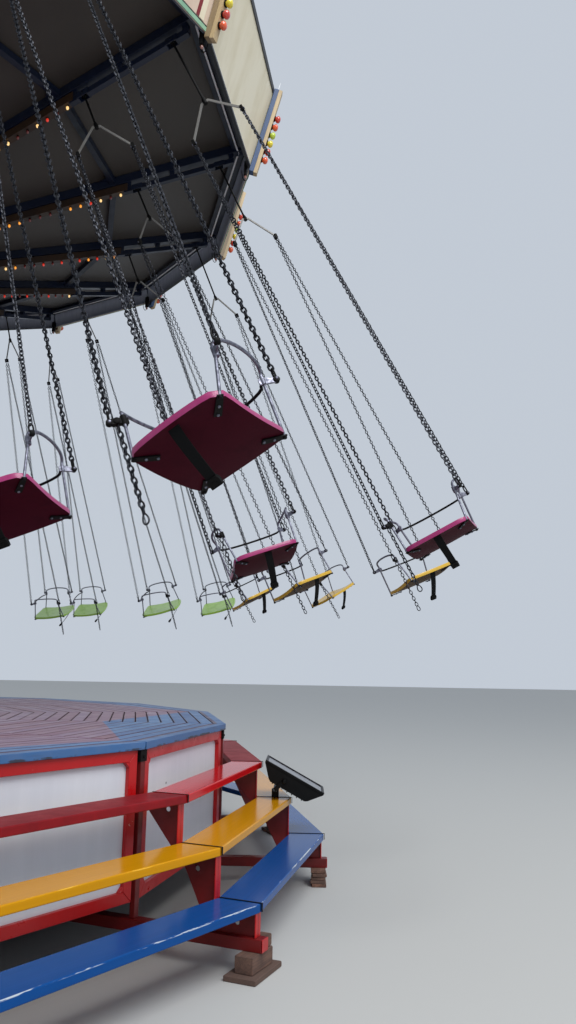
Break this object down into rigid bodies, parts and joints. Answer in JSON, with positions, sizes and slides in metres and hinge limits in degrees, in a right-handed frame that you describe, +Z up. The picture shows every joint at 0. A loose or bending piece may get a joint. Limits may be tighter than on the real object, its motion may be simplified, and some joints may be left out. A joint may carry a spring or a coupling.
{
  "type": "chair swing ride",
  "caption": "Travelling chair swing ride: stepped platform, centre mast and a turning canopy with leaning rounding boards, from which seats hang on chains.",
  "frame": {"origin": "on the ground under the centre mast", "axes": "+Z up along the mast; +X through a corner of the sixteen-sided platform"},
  "size_m": [11.6201, 11.7232, 6.7582],
  "materials": {
    "deck_boards": "worn painted boards",
    "red_tread_paint": "gloss paint, worn",
    "yellow_tread_paint": "gloss paint, worn",
    "blue_tread_paint": "gloss paint, worn",
    "white_board": "off-white paint",
    "red_steel": "chipped gloss paint",
    "navy_steel": "satin paint",
    "cream_board": "satin paint",
    "dark_sheet": "coated sheet",
    "black_metal": "satin",
    "pink_seat_paint": "gloss paint",
    "yellow_seat_paint": "gloss paint",
    "green_seat_paint": "gloss paint"
  },
  "bodies": {
    "platform": {"deck_half_1": "deck_boards", "red_treads_1": "red_tread_paint", "yellow_treads_1": "yellow_tread_paint", "blue_treads_1": "blue_tread_paint", "skirt_boards_1": "white_board", "deck_half_2": "deck_boards", "red_treads_2": "red_tread_paint", "yellow_treads_2": "yellow_tread_paint", "blue_treads_2": "blue_tread_paint", "skirt_boards_2": "white_board", "base_quarter_1": "red_steel", "skirt_frame_1": "red_steel", "base_quarter_2": "red_steel", "skirt_frame_2": "red_steel", "base_quarter_3": "red_steel", "skirt_frame_3": "red_steel", "base_quarter_4": "red_steel", "skirt_frame_4": "red_steel", "centre_base": "red_steel", "deck_joists": "red_steel", "centre_mast": "navy_steel", "centre_casing": "cream_board", "floodlight": "black_metal"},
    "canopy": {"canopy_frame": "navy_steel", "roof_sheet": "dark_sheet", "rounding_boards": "cream_board"},
    "chair_outer_01": {"chair_outer_01": "yellow_seat_paint"},
    "chair_outer_02": {"chair_outer_02": "yellow_seat_paint"},
    "chair_outer_03": {"chair_outer_03": "green_seat_paint"},
    "chair_outer_04": {"chair_outer_04": "green_seat_paint"},
    "chair_outer_05": {"chair_outer_05": "pink_seat_paint"},
    "chair_outer_06": {"chair_outer_06": "pink_seat_paint"},
    "chair_outer_07": {"chair_outer_07": "yellow_seat_paint"},
    "chair_outer_08": {"chair_outer_08": "yellow_seat_paint"},
    "chair_outer_09": {"chair_outer_09": "green_seat_paint"},
    "chair_outer_10": {"chair_outer_10": "green_seat_paint"},
    "chair_outer_11": {"chair_outer_11": "pink_seat_paint"},
    "chair_outer_12": {"chair_outer_12": "pink_seat_paint"},
    "chair_outer_13": {"chair_outer_13": "yellow_seat_paint"},
    "chair_outer_14": {"chair_outer_14": "yellow_seat_paint"},
    "chair_outer_15": {"chair_outer_15": "pink_seat_paint"},
    "chair_outer_16": {"chair_outer_16": "pink_seat_paint"},
    "chair_inner_01": {"chair_inner_01": "yellow_seat_paint"},
    "chair_inner_02": {"chair_inner_02": "yellow_seat_paint"},
    "chair_inner_03": {"chair_inner_03": "green_seat_paint"},
    "chair_inner_04": {"chair_inner_04": "green_seat_paint"},
    "chair_inner_05": {"chair_inner_05": "pink_seat_paint"},
    "chair_inner_06": {"chair_inner_06": "pink_seat_paint"},
    "chair_inner_07": {"chair_inner_07": "yellow_seat_paint"},
    "chair_inner_08": {"chair_inner_08": "yellow_seat_paint"},
    "chair_inner_09": {"chair_inner_09": "green_seat_paint"},
    "chair_inner_10": {"chair_inner_10": "green_seat_paint"},
    "chair_inner_11": {"chair_inner_11": "pink_seat_paint"},
    "chair_inner_12": {"chair_inner_12": "pink_seat_paint"},
    "chair_inner_13": {"chair_inner_13": "yellow_seat_paint"},
    "chair_inner_14": {"chair_inner_14": "yellow_seat_paint"},
    "chair_inner_15": {"chair_inner_15": "pink_seat_paint"},
    "chair_inner_16": {"chair_inner_16": "pink_seat_paint"}
  },
  "joints": [
    {"name": "canopy_spin", "type": "hinge", "parent": "platform", "child": "canopy", "pos_m": [0, 0, 4.764], "axis": [0, 0, 1], "continuous": true},
    {"name": "chair_swing_outer_01", "type": "hinge", "parent": "canopy", "child": "chair_outer_01", "pos_m": [3.8202, 0.27383, 5.8958], "axis": [0.0715, -0.9974, 0], "range_deg": [-30, 6]},
    {"name": "chair_swing_outer_02", "type": "hinge", "parent": "canopy", "child": "chair_outer_02", "pos_m": [3.42461, 1.71492, 5.8958], "axis": [0.4478, -0.8942, 0], "range_deg": [-30, 6]},
    {"name": "chair_swing_outer_03", "type": "hinge", "parent": "canopy", "child": "chair_outer_03", "pos_m": [2.50766, 2.89492, 5.8958], "axis": [0.7559, -0.6547, 0], "range_deg": [-30, 6]},
    {"name": "chair_swing_outer_04", "type": "hinge", "parent": "canopy", "child": "chair_outer_04", "pos_m": [1.20894, 3.6342, 5.8958], "axis": [0.9489, -0.3156, 0], "range_deg": [-30, 6]},
    {"name": "chair_swing_outer_05", "type": "hinge", "parent": "canopy", "child": "chair_outer_05", "pos_m": [-0.27383, 3.8202, 5.8958], "axis": [0.9974, 0.0715, 0], "range_deg": [-30, 6]},
    {"name": "chair_swing_outer_06", "type": "hinge", "parent": "canopy", "child": "chair_outer_06", "pos_m": [-1.71492, 3.42461, 5.8958], "axis": [0.8942, 0.4478, 0], "range_deg": [-30, 6]},
    {"name": "chair_swing_outer_07", "type": "hinge", "parent": "canopy", "child": "chair_outer_07", "pos_m": [-2.89492, 2.50766, 5.8958], "axis": [0.6547, 0.7559, 0], "range_deg": [-30, 6]},
    {"name": "chair_swing_outer_08", "type": "hinge", "parent": "canopy", "child": "chair_outer_08", "pos_m": [-3.6342, 1.20894, 5.8958], "axis": [0.3156, 0.9489, 0], "range_deg": [-30, 6]},
    {"name": "chair_swing_outer_09", "type": "hinge", "parent": "canopy", "child": "chair_outer_09", "pos_m": [-3.8202, -0.27383, 5.8958], "axis": [-0.0715, 0.9974, 0], "range_deg": [-30, 6]},
    {"name": "chair_swing_outer_10", "type": "hinge", "parent": "canopy", "child": "chair_outer_10", "pos_m": [-3.42461, -1.71492, 5.8958], "axis": [-0.4478, 0.8942, 0], "range_deg": [-30, 6]},
    {"name": "chair_swing_outer_11", "type": "hinge", "parent": "canopy", "child": "chair_outer_11", "pos_m": [-2.50766, -2.89492, 5.8958], "axis": [-0.7559, 0.6547, 0], "range_deg": [-30, 6]},
    {"name": "chair_swing_outer_12", "type": "hinge", "parent": "canopy", "child": "chair_outer_12", "pos_m": [-1.20894, -3.6342, 5.8958], "axis": [-0.9489, 0.3156, 0], "range_deg": [-30, 6]},
    {"name": "chair_swing_outer_13", "type": "hinge", "parent": "canopy", "child": "chair_outer_13", "pos_m": [0.27383, -3.8202, 5.8958], "axis": [-0.9974, -0.0715, 0], "range_deg": [-30, 6]},
    {"name": "chair_swing_outer_14", "type": "hinge", "parent": "canopy", "child": "chair_outer_14", "pos_m": [1.71492, -3.42461, 5.8958], "axis": [-0.8942, -0.4478, 0], "range_deg": [-30, 6]},
    {"name": "chair_swing_outer_15", "type": "hinge", "parent": "canopy", "child": "chair_outer_15", "pos_m": [2.89492, -2.50766, 5.8958], "axis": [-0.6547, -0.7559, 0], "range_deg": [-30, 6]},
    {"name": "chair_swing_outer_16", "type": "hinge", "parent": "canopy", "child": "chair_outer_16", "pos_m": [3.6342, -1.20894, 5.8958], "axis": [-0.3156, -0.9489, 0], "range_deg": [-30, 6]},
    {"name": "chair_swing_inner_01", "type": "hinge", "parent": "canopy", "child": "chair_inner_01", "pos_m": [3.11201, 0.22307, 5.6402], "axis": [0.0715, -0.9974, 0], "range_deg": [-30, 6]},
    {"name": "chair_swing_inner_02", "type": "hinge", "parent": "canopy", "child": "chair_inner_02", "pos_m": [2.78976, 1.39701, 5.6402], "axis": [0.4478, -0.8942, 0], "range_deg": [-30, 6]},
    {"name": "chair_swing_inner_03", "type": "hinge", "parent": "canopy", "child": "chair_inner_03", "pos_m": [2.04279, 2.35826, 5.6402], "axis": [0.7559, -0.6547, 0], "range_deg": [-30, 6]},
    {"name": "chair_swing_inner_04", "type": "hinge", "parent": "canopy", "child": "chair_inner_04", "pos_m": [0.98482, 2.96049, 5.6402], "axis": [0.9489, -0.3156, 0], "range_deg": [-30, 6]},
    {"name": "chair_swing_inner_05", "type": "hinge", "parent": "canopy", "child": "chair_inner_05", "pos_m": [-0.22307, 3.11201, 5.6402], "axis": [0.9974, 0.0715, 0], "range_deg": [-30, 6]},
    {"name": "chair_swing_inner_06", "type": "hinge", "parent": "canopy", "child": "chair_inner_06", "pos_m": [-1.39701, 2.78976, 5.6402], "axis": [0.8942, 0.4478, 0], "range_deg": [-30, 6]},
    {"name": "chair_swing_inner_07", "type": "hinge", "parent": "canopy", "child": "chair_inner_07", "pos_m": [-2.35826, 2.04279, 5.6402], "axis": [0.6547, 0.7559, 0], "range_deg": [-30, 6]},
    {"name": "chair_swing_inner_08", "type": "hinge", "parent": "canopy", "child": "chair_inner_08", "pos_m": [-2.96049, 0.98482, 5.6402], "axis": [0.3156, 0.9489, 0], "range_deg": [-30, 6]},
    {"name": "chair_swing_inner_09", "type": "hinge", "parent": "canopy", "child": "chair_inner_09", "pos_m": [-3.11201, -0.22307, 5.6402], "axis": [-0.0715, 0.9974, 0], "range_deg": [-30, 6]},
    {"name": "chair_swing_inner_10", "type": "hinge", "parent": "canopy", "child": "chair_inner_10", "pos_m": [-2.78976, -1.39701, 5.6402], "axis": [-0.4478, 0.8942, 0], "range_deg": [-30, 6]},
    {"name": "chair_swing_inner_11", "type": "hinge", "parent": "canopy", "child": "chair_inner_11", "pos_m": [-2.04279, -2.35826, 5.6402], "axis": [-0.7559, 0.6547, 0], "range_deg": [-30, 6]},
    {"name": "chair_swing_inner_12", "type": "hinge", "parent": "canopy", "child": "chair_inner_12", "pos_m": [-0.98482, -2.96049, 5.6402], "axis": [-0.9489, 0.3156, 0], "range_deg": [-30, 6]},
    {"name": "chair_swing_inner_13", "type": "hinge", "parent": "canopy", "child": "chair_inner_13", "pos_m": [0.22307, -3.11201, 5.6402], "axis": [-0.9974, -0.0715, 0], "range_deg": [-30, 6]},
    {"name": "chair_swing_inner_14", "type": "hinge", "parent": "canopy", "child": "chair_inner_14", "pos_m": [1.39701, -2.78976, 5.6402], "axis": [-0.8942, -0.4478, 0], "range_deg": [-30, 6]},
    {"name": "chair_swing_inner_15", "type": "hinge", "parent": "canopy", "child": "chair_inner_15", "pos_m": [2.35826, -2.04279, 5.6402], "axis": [-0.6547, -0.7559, 0], "range_deg": [-30, 6]},
    {"name": "chair_swing_inner_16", "type": "hinge", "parent": "canopy", "child": "chair_inner_16", "pos_m": [2.96049, -0.98482, 5.6402], "axis": [-0.3156, -0.9489, 0], "range_deg": [-30, 6]}
  ],
  "couplings": [
    {"joint": "chair_swing_outer_02", "follows": "chair_swing_outer_01", "ratio": 1},
    {"joint": "chair_swing_outer_03", "follows": "chair_swing_outer_01", "ratio": 1},
    {"joint": "chair_swing_outer_04", "follows": "chair_swing_outer_01", "ratio": 1},
    {"joint": "chair_swing_outer_05", "follows": "chair_swing_outer_01", "ratio": 1},
    {"joint": "chair_swing_outer_06", "follows": "chair_swing_outer_01", "ratio": 1},
    {"joint": "chair_swing_outer_07", "follows": "chair_swing_outer_01", "ratio": 1},
    {"joint": "chair_swing_outer_08", "follows": "chair_swing_outer_01", "ratio": 1},
    {"joint": "chair_swing_outer_09", "follows": "chair_swing_outer_01", "ratio": 1},
    {"joint": "chair_swing_outer_10", "follows": "chair_swing_outer_01", "ratio": 1},
    {"joint": "chair_swing_outer_11", "follows": "chair_swing_outer_01", "ratio": 1},
    {"joint": "chair_swing_outer_12", "follows": "chair_swing_outer_01", "ratio": 1},
    {"joint": "chair_swing_outer_13", "follows": "chair_swing_outer_01", "ratio": 1},
    {"joint": "chair_swing_outer_14", "follows": "chair_swing_outer_01", "ratio": 1},
    {"joint": "chair_swing_outer_15", "follows": "chair_swing_outer_01", "ratio": 1},
    {"joint": "chair_swing_outer_16", "follows": "chair_swing_outer_01", "ratio": 1},
    {"joint": "chair_swing_inner_01", "follows": "chair_swing_outer_01", "ratio": 0.8662},
    {"joint": "chair_swing_inner_02", "follows": "chair_swing_outer_01", "ratio": 0.8662},
    {"joint": "chair_swing_inner_03", "follows": "chair_swing_outer_01", "ratio": 0.8662},
    {"joint": "chair_swing_inner_04", "follows": "chair_swing_outer_01", "ratio": 0.8662},
    {"joint": "chair_swing_inner_05", "follows": "chair_swing_outer_01", "ratio": 0.8662},
    {"joint": "chair_swing_inner_06", "follows": "chair_swing_outer_01", "ratio": 0.8662},
    {"joint": "chair_swing_inner_07", "follows": "chair_swing_outer_01", "ratio": 0.8662},
    {"joint": "chair_swing_inner_08", "follows": "chair_swing_outer_01", "ratio": 0.8662},
    {"joint": "chair_swing_inner_09", "follows": "chair_swing_outer_01", "ratio": 0.8662},
    {"joint": "chair_swing_inner_10", "follows": "chair_swing_outer_01", "ratio": 0.8662},
    {"joint": "chair_swing_inner_11", "follows": "chair_swing_outer_01", "ratio": 0.8662},
    {"joint": "chair_swing_inner_12", "follows": "chair_swing_outer_01", "ratio": 0.8662},
    {"joint": "chair_swing_inner_13", "follows": "chair_swing_outer_01", "ratio": 0.8662},
    {"joint": "chair_swing_inner_14", "follows": "chair_swing_outer_01", "ratio": 0.8662},
    {"joint": "chair_swing_inner_15", "follows": "chair_swing_outer_01", "ratio": 0.8662},
    {"joint": "chair_swing_inner_16", "follows": "chair_swing_outer_01", "ratio": 0.8662}
  ]
}
